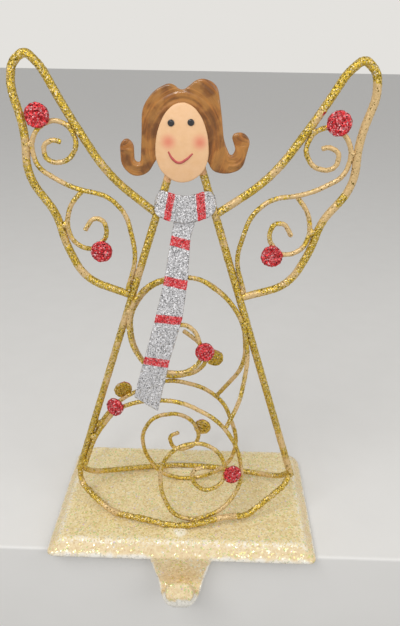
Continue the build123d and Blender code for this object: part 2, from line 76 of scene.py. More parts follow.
# Base: its paint's clouds, its grains and sparks of glitter, a painted highlight along its bevel, and where
# it is worn
CREAM_CLOUD = 14
GRAIN_SHADES = [
    (0.0, "bf9f68"), (0.07, "d8bd80"), (0.28, "ecd8a4"), (0.62, "f6e8c0"), (0.86, "f8f090"),
    (0.915, "c8f09c"), (0.95, "fffbe8"),
]
GRAIN_COVER = 0.5
BRIGHT_GRAINS = (0.855, 0.87)   # the grains above these shine
SPARK_SIZE = 1.4
SPARK_SHARE = 0.2
SPARK_EDGE = (0.42, 0.3)        # in sizes of a spark, where it ends and where it is full
SPARK_METAL = 0.45
SPARK_ROUGHNESS = 0.22
SPARK_SHADES = [(0.0, "fbf3a0"), (0.45, "dff4a6"), (0.7, "fffdf0"), (0.9, "f6d8e4")]
BASE_TILT = 0.35
CAST_RELIEF = (3.5, 0.35)       # width and height of the casting's dents
GRAIN_RELIEF = (1.0, 0.22)
BEVEL_INSET = 5.6               # how far the bevel brings the top face in
SLOPE_START = (0.2, 1.4)        # outwards from the bevel's crease
SLOPE_GRAINS = (0.95, 0.6)      # the brightest grains stay clear of its paint
CREASE_HIGHLIGHT_EDGE = (2.4, 0.3)        # width of the painted highlight either side of the bevel's upper edge
CREASE_HIGHLIGHT_GRAINS = (0.35, 0.75)    # only some grains take the painted highlight
RIM_WEAR = (0.2, 1.8)           # outwards from the plate's rim, with the waver added
RIM_HEIGHT = (-1.2, 0.6)        # the rim's wear stays above the shelf's top
TONGUE_SIDE = (12.5, 15.5)      # the rim keeps its paint over the hook's tongue
TONGUE_FRONT = (-36, -30)
HOOK_TAPER = 0.285              # how far each side of the hook comes in for each mm of its drop
HOOK_SIDE = (14.6, 15.6)        # half its width at the top, where the wear starts and is full
TIP_DROP = (-7.5, -9.5)         # worn bottom of the hook's lip
TIP_FRONT = (-46, -49)
HOOK_NOSE = Vector((0, 0.76, 0.65))     # from the hook's lowest front point, up and back
HOOK_ROUND = (41.5, 51.5)       # where its end starts to narrow and where it is gone
HOOK_END = 0.2                  # square of the least share of its width that is left
FRONT_WELD = (-1.0, -29.5, 9.0)
FRONT_WELD_EDGE = (6.8, 4.6)    # where its glue ends and where it is full
REAR_WELD = (0.0, 20.0, 8.5)
REAR_WELD_SIZE = (15.0, 3.0)    # its radius and how softly it ends
REAR_WELD_HEIGHT = (8.3, 9.2)

# Wires: share of bare paint on each kind, and where glitter is rubbed off or spilt
BARE_SHARES = {"full": 0.03, "thin": 0.1, "neck": 0.03}
BARE_LEVELS = (0.68, 0.72)
BARE_PATCH = 9
BARE_SCATTER = 0.12             # by how much a patch's edge breaks up into flakes
STRAY_FLAKES = (0.03, 0.08)     # the few flakes that hold on in a bare patch
RUBBED = [                      # middle of each stretch and its radius
    ((71.6, -3.0, 205.5), 8), ((68.5, -3.0, 192.1), 8), ((67.6, -3.0, 176.0), 6),
    ((57.4, -3.0, 183.9), 5), ((59.1, -3.0, 163.2), 4),
    ((-36.7, -18.3, 10.0), 4), ((21.5, -24.5, 13.6), 5),
]
RUBBED_FADE = 3
RUBBED_LIFT = 0.4
NECK_LAPS = [(-7.2, -4.6, 176.4), (6.4, -4.6, 179.4)]   # flesh paint run onto the neck's wires
LAP_EDGE = (3.9, 3.3)
WING_SMEAR = ((54.2, -4.5, 202.0), 0.8)     # red glitter on the right wing's outline
SPILL_REACH = (1.2, 0.9)        # how far a berry's glitter runs over

# Berries
CLUMP_RELIEF = (1.5, 0.6)
INSIDE_OUT = (-0.15, 0.1)       # how far a disc's surface faces back where gold gives way to red

# Scarf. Tail: middle of each stripe, its slope and half its height
TAIL_STRIPES = [
    ((-3.0, 148.5), -0.25, 2.2),
    ((-3.8, 130.4), -0.2, 2.15),
    ((-7.4, 113.4), -0.07, 1.95),
    ((-12.9, 92.6), -0.14, 1.9),
]
# Collar: upper and lower end of each stripe, and half its width
COLLAR_STRIPES = [
    ((-5.9, 169.1), (-7.9, 158.8), 1.5),
    ((5.9, 170.4), (6.8, 159.5), 1.8),
]
STRIPE_EDGE = (0.6, 0.2)
SCARF_METAL = 0.65
STRIPE_METAL = 0.05

# Hair: its strands run round the face, and round the notch of each curl
CURLS = [(-19.6, 183.5), (18.8, 186.5)]
CURL_SIDE = (-3.5, -1.0)        # from the notch, where a curl's own strands start and take over
CURL_TOP = (7, 1)
CURL_SHIFT = 2                  # brings the curl's strands in line with the others
FACE_STRETCH = 1.3              # how much taller than wide the strands' rings are
STRAND_LENGTH = 9               # length of a brush mark, in widths of a strand
STRAND_RIDGE = 1.6              # width of a ridge, in widths of a strand
FLAT_FACE = (0.6, 0.95)         # how far the plate's surface faces front or back

# Face: middle of each eye and cheek, and the mouth from left to right
EYES = [(-5.8, 198.1), (2.0, 198.4)]
EYE_WALL = 0.6                  # of its height, below where it rounds over
EYE_RINGS = [(0.35, 0.3), (0.3, 0.1)]   # inwards by its radius and up by its height
CHEEKS = [(-6.9, 190.9), (5.6, 190.9)]
CHEEK_CORE = 0.6
SMILE = [(-6.9, 187.2), (-5.4, 184.6), (-2.7, 182.9), (0.3, 184.3), (2.8, 186.6)]
SMILE_END = 0.6
FACE_RELIEF = (2.5, 0.12)

# Stage, in metres and degrees
SHELF_SIZE = (6.0, 5.0, 0.8)
SHELF_ROUNDING = 0.0012
LAMPS = {                       # place and width
    "key": ((-0.42, -0.5, 0.85), 0.5),
    "fill": ((0.6, -0.45, 0.55), 0.6),
    "spark": ((-0.06, -0.42, 0.42), 0.07),
}
LAMP_AIM = Vector((0, 0, 0.1))
CAMERA_PLACE = (0.0119, -0.2528, 0.2277)
CAMERA_PITCH = 24.46
CAMERA_YAW = -1.22
CAMERA_ROLL = 0.91
CAMERA_LENS = 54
CAMERA_SENSOR = 36


def tint(code):
    """Linear colour from a hex code."""
    channels = [int(code[i:i + 2], 16) / 255 for i in (0, 2, 4)]
    return tuple(c / 12.92 if c < 0.04045 else ((c + 0.055) / 1.055) ** 2.4 for c in channels)


def shade(base, factor):
    """Base colour made darker, or above 1 moved towards white."""
    if factor <= 1:
        return tuple(c * factor for c in base)
    return tuple(c + (1 - c) * (factor - 1) for c in base)


def smooth(value, low, high):
    """0 at low, 1 at high, smooth between them."""
    share = min(1, max(0, (value - low) / (high - low)))
    return share * share * (3 - 2 * share)


def colour(name, code, description):
    return FloatVectorProperty(
        name=name, description=description, subtype="COLOR", size=3, min=0, max=1, default=tint(code))


def length(name, millimetres, description, least=0):
    return FloatProperty(
        name=name, description=description, subtype="DISTANCE", unit="LENGTH",
        min=least * MM, precision=5, default=millimetres * MM)


def power(name, watts, description):
    return FloatProperty(name=name, description=description, unit="POWER", min=0, default=watts)


class HolderColours(bpy.types.PropertyGroup):
    gold: colour("Gold", "dcb93c", "Glitter on the wires")
    bare_gold: colour("Bare gold", "dcbb84", "Paint where the glitter has rubbed off")
    red: colour("Red", "da343a", "Glitter on the berries")
    stripe: colour("Stripe", "e0282f", "Glitter on the scarf's stripes")
    silver: colour("Silver", "dcdadb", "Glitter on the scarf")
    cream: colour("Cream", "f0d692", "Paint on the base")
    slope: colour("Slope", "e2c4a4", "Thinner paint on the base's bevel")
    worn: colour("Worn white", "efeade", "Rubbed edges of the base")
    glue: colour("Glue", "f2efe4", "Lump at the front hem's weld")
    weld: colour("Weld", "cfcbc0", "Weld metal on the base")
    hair: colour("Hair", "b06c24", "Brush strokes on the hair")
    bright_hair: colour("Bright hair", "cc9044", "Patches where the hair's paint is thin")
    flesh: colour("Flesh", "f1be87", "Paint on the face")
    blush: colour("Blush", "e0705c", "Cheeks")
    smile: colour("Smile", "c23a34", "Mouth")
    ink: colour("Ink", "1a1614", "Eyes")
    felt: colour("Felt", "3c3730", "Sheet under the base")


class HolderCoat(bpy.types.PropertyGroup):
    wire_grain: length("Wire grain", 0.4, "Spacing of the skin's points on a wire")
    sheet_grain: length("Sheet grain", 0.4, "Spacing of the skin's points on discs, scarf and head")
    base_grain: length("Base grain", 0.65, "Spacing of the skin's points on the base")
    glitter_height: length("Glitter height", 0.4, "Relief of the glitter")
    glitter_size: length("Glitter size", 0.7, "Width of a glitter grain")
    bead_height: length("Bead height", 1.1, "Relief of the glue beads on the front hem")
    bead_size: length("Bead size", 1.5, "Width of a glue bead")
    strand_height: length("Strand height", 0.7, "Relief of the hair's strands")
    strand_width: length("Strand width", 1.0, "Width of a strand")


class HolderFace(bpy.types.PropertyGroup):
    eye: length("Eye", 1.4, "Radius of an eye")
    eye_height: length("Eye height", 0.75, "How far an eye's paint stands up")
    smile: length("Smile", 0.5, "Half the width of the mouth's brush stroke")
    cheek: length("Cheek", 3.6, "Radius of the blush on a cheek")


class HolderStage(bpy.types.PropertyGroup):
    shelf: colour("Shelf", "e6e4e0", "Shelf that the holder stands on")
    shelf_edge: length("Shelf edge", -35.2, "Front face of the shelf", least=-100)
    wall: colour("Wall", "e4e2de", "Wall behind the shelf")
    key: power("Key light", 3.6, "Strength of the main lamp")
    fill: power("Fill light", 2.0, "Strength of the second lamp")
    spark: power("Spark light", 0.35, "Strength of the small lamp in front")
    sky: FloatProperty(name="Sky", description="Strength of the light all round", min=0, default=0.65)


class Paint:
    """Nodes of one material. Places and sizes are in millimetres."""

    def __init__(self, name):
        self.material = bpy.data.materials.new(name)
        self.material.use_nodes = True
        self.nodes = self.material.node_tree.nodes
        self.links = self.material.node_tree.links
        self.nodes.clear()
        self.shader = self.nodes.new("ShaderNodeBsdfPrincipled")
        output = self.nodes.new("ShaderNodeOutputMaterial")
        self.links.new(self.shader.outputs["BSDF"], output.inputs["Surface"])
        coordinates = self.nodes.new("ShaderNodeTexCoord")
        self.place = self.vector("MULTIPLY", coordinates.outputs["Object"], 1 / MM)
        self.x, self.y, self.z = self.axes(self.place)

    def put(self, socket, value):
        """Link or set a socket. One number stands for all three parts of a vector."""
        if isinstance(value, bpy.types.NodeSocket):
            self.links.new(value, socket)
        elif socket.type == "VECTOR" and isinstance(value, float):
            socket.default_value = (value, value, value)
        elif socket.type == "RGBA" and len(value) == 3:
            socket.default_value = (*value, 1)
        else:
            socket.default_value = value

    def set(self, **values):
        """Fill inputs of the shader, with their names in small letters."""
        for name, value in values.items():
            self.put(self.shader.inputs[name.replace("_", " ").title()], value)

    def under(self, name):
        """What an input of the shader is linked to so far."""
        return self.shader.inputs[name].links[0].from_socket

    def cover(self, factor, over):
        """Plain paint over glitter."""
        rough = self.under("Roughness")
        change = self.times(factor, self.minus(PLAIN_ROUGHNESS, rough))
        self.set(
            base_color=self.mix(factor, self.under("Base Color"), over),
            metallic=self.times(self.under("Metallic"), self.minus(1.0, factor)),
            roughness=self.plus(rough, change))

    def math(self, operation, a, b=0.0):
        node = self.nodes.new("ShaderNodeMath")
        node.operation = operation
        self.put(node.inputs[0], a)
        self.put(node.inputs[1], b)
        return node.outputs[0]

    def plus(self, a, b):
        return self.math("ADD", a, b)

    def minus(self, a, b):
        return self.math("SUBTRACT", a, b)

    def times(self, a, b):
        return self.math("MULTIPLY", a, b)

    def larger(self, a, b):
        return self.math("MAXIMUM", a, b)

    def unsigned(self, value):
        return self.math("ABSOLUTE", value)

    def fade(self, mask, start, end):
        """From start to end as the mask goes from 0 to 1."""
        return self.minus(start, self.times(mask, start - end))

    def vector(self, operation, a, b=0.0):
        node = self.nodes.new("ShaderNodeVectorMath")
        node.operation = operation
        self.put(node.inputs[0], a)
        self.put(node.inputs[1], b)
        return node.outputs["Value" if operation == "DISTANCE" else "Vector"]

    def axes(self, value):
        node = self.nodes.new("ShaderNodeSeparateXYZ")
        self.put(node.inputs[0], value)
        return node.outputs

    def channels(self, value):
        node = self.nodes.new("ShaderNodeSeparateColor")
        self.put(node.inputs[0], value)
        return node.outputs

    def mix(self, factor, a, b):
        node = self.nodes.new("ShaderNodeMix")
        node.data_type = "RGBA"
        factor_input, a_input, b_input, colour_output = 0, 6, 7, 2
        self.put(node.inputs[factor_input], factor)
        self.put(node.inputs[a_input], a)
        self.put(node.inputs[b_input], b)
        return node.outputs[colour_output]

    def layer(self, tone, mask, over, cover):
        """A thin coat where the mask is 1, which hides the given share of the tone under it."""
        return self.mix(self.times(mask, cover), tone, over)

    def shades(self, pattern, base, dark, light):
        """One colour from a darker to a lighter shade of it, as the pattern goes from 0 to 1."""
        return self.mix(pattern, shade(base, dark), shade(base, light))

    def between(self, value, low, high):
        """0 at low, 1 at high, smooth between them."""
        node = self.nodes.new("ShaderNodeMapRange")
        node.interpolation_type = "SMOOTHSTEP"
        self.put(node.inputs["Value"], value)
        node.inputs["From Min"].default_value = low
        node.inputs["From Max"].default_value = high
        return node.outputs[0]

    def noise(self, size, detail=2.0, place=None):
        """Cloudy pattern."""
        node = self.nodes.new("ShaderNodeTexNoise")
        self.put(node.inputs["Vector"], self.place if place is None else place)
        node.inputs["Scale"].default_value = 1 / size
        node.inputs["Detail"].default_value = detail
        return node.outputs["Fac"]

    def waver(self, size, height, detail=3.0):
        """Added to a distance, it makes the edge of what ends there uneven."""
        return self.times(self.noise(size, detail), height)

    def cells(self, size):
        """Grains of glitter side by side."""
        node = self.nodes.new("ShaderNodeTexVoronoi")
        self.put(node.inputs["Vector"], self.place)
        node.inputs["Scale"].default_value = 1 / size
        return node.outputs

    def flakes(self, size):
        """A random colour for each glitter flake."""
        return self.cells(size)["Color"]

    def sparks(self, size, share):
        """Round grains of glitter: 1 on the given share of them and 0 elsewhere, and a pick for each."""
        cells = self.cells(size)
        red, green = self.channels(cells["Color"])[:2]
        soft = 0.005
        picked = self.between(red, 1 - share - soft, 1 - share + soft)
        inside = self.between(cells["Distance"], *SPARK_EDGE)
        return self.times(picked, inside), green

    def steps(self, value, stops):
        """Palette: each colour holds from its stop up to the next."""
        node = self.nodes.new("ShaderNodeValToRGB")
        ramp = node.color_ramp
        ramp.interpolation = "CONSTANT"
        while len(ramp.elements) < len(stops):
            ramp.elements.new(0.5)
        for element, (position, tone) in zip(ramp.elements, stops):
            element.position = position
            element.color = (*tone, 1)
        self.put(node.inputs[0], value)
        return node.outputs[0]

    def surface(self):
        """Direction that the surface faces."""
        return self.nodes.new("ShaderNodeNewGeometry").outputs["Normal"]

    def tilted(self, flake, amount):
        """Direction of the surface, tipped a different way at each flake."""
        tip = self.vector("MULTIPLY", self.vector("SUBTRACT", flake, 0.5), amount)
        return self.vector("NORMALIZE", self.vector("ADD", self.surface(), tip))

    def bump(self, height, strength, distance):
        node = self.nodes.new("ShaderNodeBump")
        node.inputs["Strength"].default_value = strength
        node.inputs["Distance"].default_value = distance * MM
        self.put(node.inputs["Height"], height)
        return node.outputs[0]

    def distance(self, centre):
        return self.vector("DISTANCE", self.place, centre)

    def spot(self, centre, radius, soft):
        """1 inside a ball, 0 outside it."""
        return self.between(self.distance(centre), radius + soft, radius - soft)


def glitter_palette(paint, pick, base):
    return paint.steps(pick, [(start, shade(base, bright)) for start, bright in FLAKE_TONES])


def flake_roughness(paint, pick, least):
    return paint.plus(paint.times(pick, FLAKE_ROUGHNESS), least)


def bare_patches(paint, share, pick, scatter):
    """1 where the glitter is gone: in patches of the given share and at the rubbed stretches."""
    patch = paint.noise(BARE_PATCH, detail=3)
    for centre, radius in RUBBED:
        patch = paint.plus(patch, paint.times(paint.spot(centre, radius, RUBBED_FADE), RUBBED_LIFT))
    edge = paint.plus(patch, paint.times(scatter, BARE_SCATTER))
    low, high = BARE_LEVELS
    return paint.times(paint.between(edge, low - share, high - share), paint.between(pick, *STRAY_FLAKES))


def spilt_flakes(paint, spills):
    """1 at places that are given with a radius, and a little past them."""
    waver = paint.waver(size=1.3, height=2)
    end, start = SPILL_REACH
    total = 0.0
    for centre, radius in spills:
        away = paint.plus(paint.distance(centre), waver)
        total = paint.larger(total, paint.between(away, radius + end, radius + start))
    return total


def glitter_paint(name, base, size, bare=None, bare_share=0.0, spilt=None, spills=()):
    """Metal flakes of several brightnesses, with bare patches of paint where a share is given.

    Flakes of another colour are spilt at places that are given with a radius.
    """
    paint = Paint(name)
    flake = paint.flakes(size)
    red, green, blue = paint.channels(flake)[:3]
    tone = glitter_palette(paint, red, base)
    metal = FLAKE_METAL
    tilt = FLAKE_TILT
    if bare_share:
        rubbed = bare_patches(paint, bare_share, red, green)
        tone = paint.mix(rubbed, tone, bare)
        metal = paint.fade(rubbed, FLAKE_METAL, BARE_METAL)
        tilt = paint.fade(rubbed, FLAKE_TILT, BARE_TILT)
    if spilt:
        tone = paint.mix(spilt_flakes(paint, spills), tone, glitter_palette(paint, red, spilt))
    paint.set(
        base_color=tone, metallic=metal, roughness=flake_roughness(paint, blue, least=0.22),
        normal=paint.tilted(flake, tilt))
    return paint


def only(piece):
    """Select one object and nothing else."""
    bpy.ops.object.select_all(action="DESELECT")
    piece.select_set(True)
    bpy.context.view_layer.objects.active = piece


def apply_modifiers(piece):
    only(piece)
    for modifier in list(piece.modifiers):
        bpy.ops.object.modifier_apply(modifier=modifier.name)


def relief(piece, name, size, height):
    """Roughen a skin with a cloudy pattern."""
    texture = bpy.data.textures.new(f"{piece.name}_{name}", "CLOUDS")
    texture.noise_scale = size
    texture.noise_depth = 1
    modifier = piece.modifiers.new(name, "DISPLACE")
    modifier.texture = texture
    modifier.strength = height
    modifier.mid_level = 0.5
    modifier.texture_coords = "LOCAL"
    return modifier


def fine_relief(piece, name, width_and_height):
    """Relief whose sizes are in mm."""
    width, height = width_and_height
    relief(piece, name, width * MM, height * MM)


def close_up(piece):
    """Merge points that lie on each other."""
    only(piece)
    bpy.ops.object.mode_set(mode="EDIT")
    bpy.ops.mesh.select_all(action="SELECT")
    bpy.ops.mesh.remove_doubles(threshold=0.001 * MM)
    bpy.ops.object.mode_set(mode="OBJECT")


def face_outwards(piece):
    only(piece)
    bpy.ops.object.mode_set(mode="EDIT")
    bpy.ops.mesh.select_all(action="SELECT")
    bpy.ops.mesh.normals_make_consistent(inside=False)
    bpy.ops.object.mode_set(mode="OBJECT")


def coat(node, grain):
    """Copy of a solid with an even skin of small faces, ready for relief."""
    piece = bpy.data.objects.new(f"{node}_coat", NODES[node].data.copy())
    bpy.context.scene.collection.objects.link(piece)
    close_up(piece)
    skin = piece.modifiers.new("skin", "REMESH")
    skin.mode = "VOXEL"
    skin.voxel_size = grain
    apply_modifiers(piece)
    return piece


def wear(piece, paint):
    """Give a piece one paint, after its modifiers."""
    apply_modifiers(piece)
    piece.data.materials.clear()
    piece.data.materials.append(paint.material)


def seat(piece, node, paint):
    """Finish a coat: paint it, smooth it and let it stand for its solid."""
    wear(piece, paint)
    bpy.ops.object.shade_smooth()
    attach(piece, "root")
    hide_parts(node)


def nodes_of(slot):
    return [part["node"] for part in frame["record"]["subparts"] if part["material_slot"] == slot]


class HOLDER_OT_base(bpy.types.Operator):
    """Cast base and hook with cream paint, sparkle, rubbed edges and weld metal"""
    bl_idname = "holder.base"
    bl_label = "Base"

    def execute(self, context):
        colours = context.scene.holder_colours
        piece = coat("base_casting", context.scene.holder_coat.base_grain)
        fine_relief(piece, "cast", CAST_RELIEF)
        fine_relief(piece, "grain", GRAIN_RELIEF)
        self.round_hook(piece)
        seat(piece, "base_casting", self.cream_paint(colours))
        NODES["base_pad"].material_slots[0].material = self.felt(colours).material
        return {"FINISHED"}

    def round_hook(self, piece):
        """Draw the front corners of the hook in, so that its end is a round spoon."""
        start, end = HOOK_ROUND
        for vertex in piece.data.vertices:
            reach = -HOOK_NOSE.dot(vertex.co) / MM
            if vertex.co.z < 0 and reach > start:
                share = (reach - start) / (end - start)
                vertex.co.x *= max(HOOK_END, 1 - share * share) ** 0.5

    def cream_paint(self, colours):
        """Cream paint with grains and sparks of glitter, worn white in places."""
        paint = Paint("cream_sparkle")
        flake = paint.flakes(BASE_FLAKE)
        red, green = paint.channels(flake)[:2]
        spark, pick = paint.sparks(SPARK_SIZE, SPARK_SHARE)
        grains = paint.steps(red, [(start, tint(code)) for start, code in GRAIN_SHADES])
        shine = paint.steps(pick, [(start, tint(code)) for start, code in SPARK_SHADES])
        cloud = paint.noise(CREAM_CLOUD, detail=4)
        tone = paint.shades(cloud, colours.cream, dark=0.86, light=1.25)
        tone = paint.mix(GRAIN_COVER, tone, grains)
        tone = paint.layer(tone, spark, shine, cover=0.85)
        edge = self.past_rim(paint)
        tone = self.bevel(paint, colours, tone, edge, red, green)
        worn = paint.larger(self.worn_rim(paint, edge), self.worn_sides(paint))
        tone = paint.mix(worn, tone, colours.worn)
        tone = paint.mix(self.worn_tip(paint), tone, colours.worn)
        tone = self.welds(paint, colours, tone)
        bright = paint.larger(paint.between(red, *BRIGHT_GRAINS), spark)
        paint.set(
            base_color=tone, roughness=paint.fade(bright, PLAIN_ROUGHNESS, SPARK_ROUGHNESS),
            metallic=paint.times(bright, SPARK_METAL), normal=paint.tilted(flake, BASE_TILT))
        return paint

    def past_rim(self, paint):
        """How far a point lies outside the plate's rim. It is negative inside it."""
        _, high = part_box("base_casting")
        across = paint.minus(paint.unsigned(paint.x), high.x / MM)
        along = paint.minus(paint.unsigned(paint.y), high.y / MM)
        return paint.larger(across, along)

    def bevel(self, paint, colours, tone, edge, red, green):
        """Thinner paint on the slope, and a speckled painted highlight along its upper edge."""
        inset = paint.plus(edge, BEVEL_INSET)
        slope = paint.times(paint.between(inset, *SLOPE_START), paint.between(red, *SLOPE_GRAINS))
        tone = paint.layer(tone, slope, colours.slope, cover=0.4)
        # Painted highlight: pale cream on some grains along the bevel's upper edge, standing in for light
        # caught there
        crease_highlight = paint.between(paint.unsigned(inset), *CREASE_HIGHLIGHT_EDGE)
        crease_highlight = paint.times(crease_highlight, paint.between(green, *CREASE_HIGHLIGHT_GRAINS))
        return paint.layer(tone, crease_highlight, shade(colours.cream, 1.75), cover=0.65)

    def worn_rim(self, paint, edge):
        """Bottom edge of the plate, but not over the hook's tongue."""
        rim = paint.between(paint.plus(edge, paint.waver(size=4, height=3.2)), *RIM_WEAR)
        rim = paint.times(rim, paint.between(paint.z, *RIM_HEIGHT))
        beside_tongue = paint.between(paint.unsigned(paint.x), *TONGUE_SIDE)
        behind_tongue = paint.between(paint.y, *TONGUE_FRONT)
        return paint.times(rim, paint.larger(beside_tongue, behind_tongue))

    def worn_sides(self, paint):
        """Edges of the hook, below the shelf's top."""
        side = paint.plus(paint.unsigned(paint.x), paint.times(paint.z, -HOOK_TAPER))
        side = paint.between(paint.plus(side, paint.waver(size=4, height=3)), *HOOK_SIDE)
        return paint.times(side, paint.between(paint.z, low=0, high=-1))

    def worn_tip(self, paint):
        """Bottom of the hook's lip."""
        tip = paint.between(paint.plus(paint.z, paint.waver(size=3, height=6)), *TIP_DROP)
        return paint.times(tip, paint.between(paint.y, *TIP_FRONT))

    def welds(self, paint, colours, tone):
        """Glue at the front hem, and bare metal on the mound under the rear one."""
        away = paint.plus(paint.distance(FRONT_WELD), paint.waver(size=2.2, height=5))
        tone = paint.layer(tone, paint.between(away, *FRONT_WELD_EDGE), colours.glue, cover=0.6)
        mound = paint.between(paint.z, *REAR_WELD_HEIGHT)
        metal = paint.times(paint.spot(REAR_WELD, *REAR_WELD_SIZE), mound)
        return paint.layer(tone, metal, colours.weld, cover=0.75)

    def felt(self, colours):
        paint = Paint("felt")
        fuzz = paint.noise(size=0.5, detail=4)
        paint.set(
            base_color=paint.shades(fuzz, colours.felt, dark=0.6, light=1.15), roughness=0.95,
            normal=paint.bump(fuzz, strength=0.6, distance=0.3))
        return paint


class HOLDER_OT_wires(bpy.types.Operator):
    """Legs, hems, wings and scrolls with gold glitter and bare patches"""
    bl_idname = "holder.wires"
    bl_label = "Gold wires"

    def execute(self, context):
        colours = context.scene.holder_colours
        coats = context.scene.holder_coat
        paints = {
            kind: glitter_paint(f"gold_glitter_{kind}", colours.gold, WIRE_FLAKE, colours.bare_gold,
                                share, colours.red, self.spills())
            for kind, share in BARE_SHARES.items()}
        self.lap(paints["neck"], colours)
        for node in nodes_of("gold_wire"):
            piece = coat(node, coats.wire_grain)
            relief(piece, "glitter", coats.glitter_size, coats.glitter_height)
            if node == "front_hem":
                relief(piece, "beads", coats.bead_size, coats.bead_height)
            seat(piece, node, paints[self.kind(node)])
        return {"FINISHED"}

    def kind(self, node):
        """Which of the gold paints a wire has."""
        if node == "body_frame":
            return "neck"
        return "thin" if "scroll" in node else "full"

    def spills(self):
        """Front berries, whose glitter runs a little onto the wires, and a smear on the right wing."""
        places = [WING_SMEAR]
        for node in nodes_of("red_disc"):
            if not node.startswith("rear"):
                low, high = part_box(node)
                middle = (low + high) / 2 / MM
                places.append((tuple(middle), (high.x - low.x) / 2 / MM))
        return places

    def lap(self, paint, colours):
        """Flesh paint that has run from the face onto the wires of the neck."""
        for centre in NECK_LAPS:
            waver = paint.waver(size=1.2, height=2, detail=2)
            away = paint.plus(paint.distance(centre), waver)
            paint.cover(paint.between(away, *LAP_EDGE), colours.flesh)


class HOLDER_OT_berries(bpy.types.Operator):
    """Berry discs with red glitter. The discs behind the skirt are gold on the inside"""
    bl_idname = "holder.berries"
    bl_label = "Berry discs"

    def execute(self, context):
        colours = context.scene.holder_colours
        coats = context.scene.holder_coat
        red = glitter_paint("red_glitter", colours.red, BERRY_FLAKE)
        two_sided = self.two_sided(colours)
        for node in nodes_of("red_disc"):
            piece = coat(node, coats.sheet_grain)
            fine_relief(piece, "clumps", CLUMP_RELIEF)
            relief(piece, "glitter", coats.glitter_size, coats.glitter_height)
            seat(piece, node, two_sided if node.startswith("rear") else red)
        return {"FINISHED"}

    def two_sided(self, colours):
        paint = Paint("red_and_gold_glitter")
        flake = paint.flakes(BERRY_FLAKE)
        pick = paint.channels(flake)[0]
        outer = glitter_palette(paint, pick, colours.red)
        inner = glitter_palette(paint, pick, colours.gold)
        _, backwards, _ = paint.axes(paint.surface())
        tone = paint.mix(paint.between(backwards, *INSIDE_OUT), inner, outer)
        paint.set(
            base_color=tone, metallic=FLAKE_METAL, roughness=0.35, normal=paint.tilted(flake, FLAKE_TILT))
        return paint


class HOLDER_OT_scarf(bpy.types.Operator):
    """Scarf collar and tail with silver glitter and red stripes"""
    bl_idname = "holder.scarf"
    bl_label = "Scarf"

    def execute(self, context):
        coats = context.scene.holder_coat
        for node, stripes in (("scarf_collar", self.collar), ("scarf_tail", self.tail)):
            piece = coat(node, coats.sheet_grain)
            relief(piece, "glitter", coats.glitter_size, coats.glitter_height)
            seat(piece, node, self.striped(node, stripes, context.scene.holder_colours))
        return {"FINISHED"}

    def striped(self, name, stripes, colours):
        paint = Paint(name)
        flake = paint.flakes(SCARF_FLAKE)
        red, _, blue = paint.channels(flake)[:3]
        stripe = stripes(paint)
        tone = paint.mix(
            stripe, glitter_palette(paint, red, colours.silver), glitter_palette(paint, red, colours.stripe))
        paint.set(
            base_color=tone, metallic=paint.fade(stripe, SCARF_METAL, STRIPE_METAL),
            roughness=flake_roughness(paint, blue, least=0.25), normal=paint.tilted(flake, FLAKE_TILT))
        return paint

    def tail(self, paint):
        return self.bands(paint, paint.x, paint.z, TAIL_STRIPES)

    def collar(self, paint):
        return self.bands(paint, paint.z, paint.x, [
            ((top, x), (x - low_x) / (top - low), half)
            for (x, top), (low_x, low), half in COLLAR_STRIPES])

    def bands(self, paint, along, across, rows):
        """1 on stripes, each with a point of its middle line, the line's slope and half its width."""
        waver = paint.waver(size=1.5, height=0.8, detail=2)
        end, start = STRIPE_EDGE
        total = 0.0
        for (point_along, point_across), slope, half in rows:
            line = paint.times(paint.minus(along, point_along), slope)
            away = paint.unsigned(paint.minus(paint.minus(across, point_across), line))
            total = paint.plus(total, paint.between(paint.plus(away, waver), half + end, half + start))
        return total


